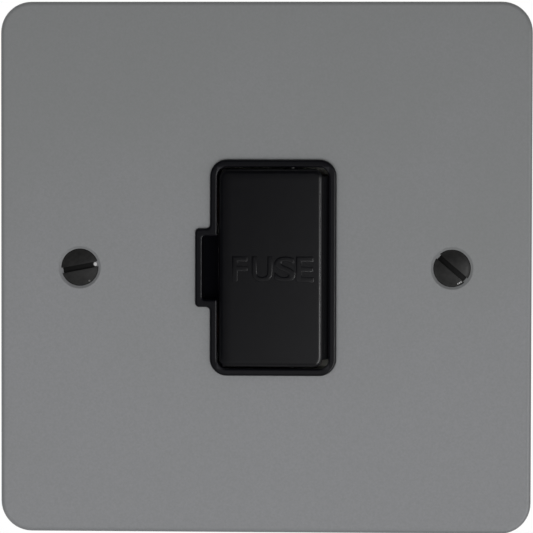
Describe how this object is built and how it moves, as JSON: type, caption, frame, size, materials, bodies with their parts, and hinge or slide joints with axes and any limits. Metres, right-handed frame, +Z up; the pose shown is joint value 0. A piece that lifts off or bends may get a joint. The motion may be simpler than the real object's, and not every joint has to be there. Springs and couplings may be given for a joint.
{
  "type": "fused spur unit",
  "caption": "Flat square metal plate with a black insert whose hinged carrier holds a cartridge fuse, for fixing to a wall box.",
  "frame": {"origin": "midway between the two fixing screws, on the wall plane behind the gasket", "axes": "+X to the right seen from the front, +Y into the wall, +Z up"},
  "size_m": [0.086, 0.025, 0.086],
  "materials": {
    "plate_metal": "satin grey metal",
    "gasket_foam": "closed-cell foam",
    "plated_steel": "zinc plated",
    "black_screw": "black plated",
    "black_plastic": "satin",
    "carrier_plastic": "satin",
    "fuse_ceramic": "glazed ceramic",
    "cap_metal": "bright plated",
    "contact_copper": "plain",
    "terminal_brass": "machined",
    "zinc_screw": "bright zinc",
    "base_plastic": "moulded"
  },
  "bodies": {
    "fixed_body": {"front_plate": "plate_metal", "gasket": "gasket_foam", "mounting_strap": "plated_steel", "fixing_screw_left": "black_screw", "fixing_screw_right": "black_screw", "bezel_moulding": "black_plastic", "base_housing": "base_plastic", "load_fuse_contact": "contact_copper", "supply_fuse_contact": "contact_copper", "live_load_terminal": "terminal_brass", "live_supply_terminal": "terminal_brass", "neutral_load_terminal": "terminal_brass", "neutral_supply_terminal": "terminal_brass", "neutral_link": "contact_copper", "earth_load_terminal": "terminal_brass", "earth_supply_terminal": "terminal_brass", "live_load_screw": "zinc_screw", "live_supply_screw": "zinc_screw", "neutral_load_screw": "zinc_screw", "neutral_supply_screw": "zinc_screw", "earth_load_screw": "zinc_screw", "earth_supply_screw": "zinc_screw", "assembly_screw_left": "zinc_screw", "assembly_screw_right": "zinc_screw", "assembly_screw_top": "zinc_screw", "assembly_screw_bottom": "zinc_screw", "plate_nut_left_low": "zinc_screw", "plate_nut_left_high": "zinc_screw", "plate_nut_right_low": "zinc_screw", "plate_nut_right_high": "zinc_screw"},
    "fuse_drawer": {"fuse_carrier": "carrier_plastic", "fuse_tube": "fuse_ceramic", "fuse_wire": "contact_copper", "fuse_cap_top": "cap_metal", "fuse_cap_bottom": "cap_metal"}
  },
  "joints": [
    {"name": "carrier_hinge", "type": "hinge", "parent": "fixed_body", "child": "fuse_drawer", "pos_m": [0.004, 0.0005, 0], "axis": [0, 0, 1], "range_deg": [0, 60]}
  ]
}
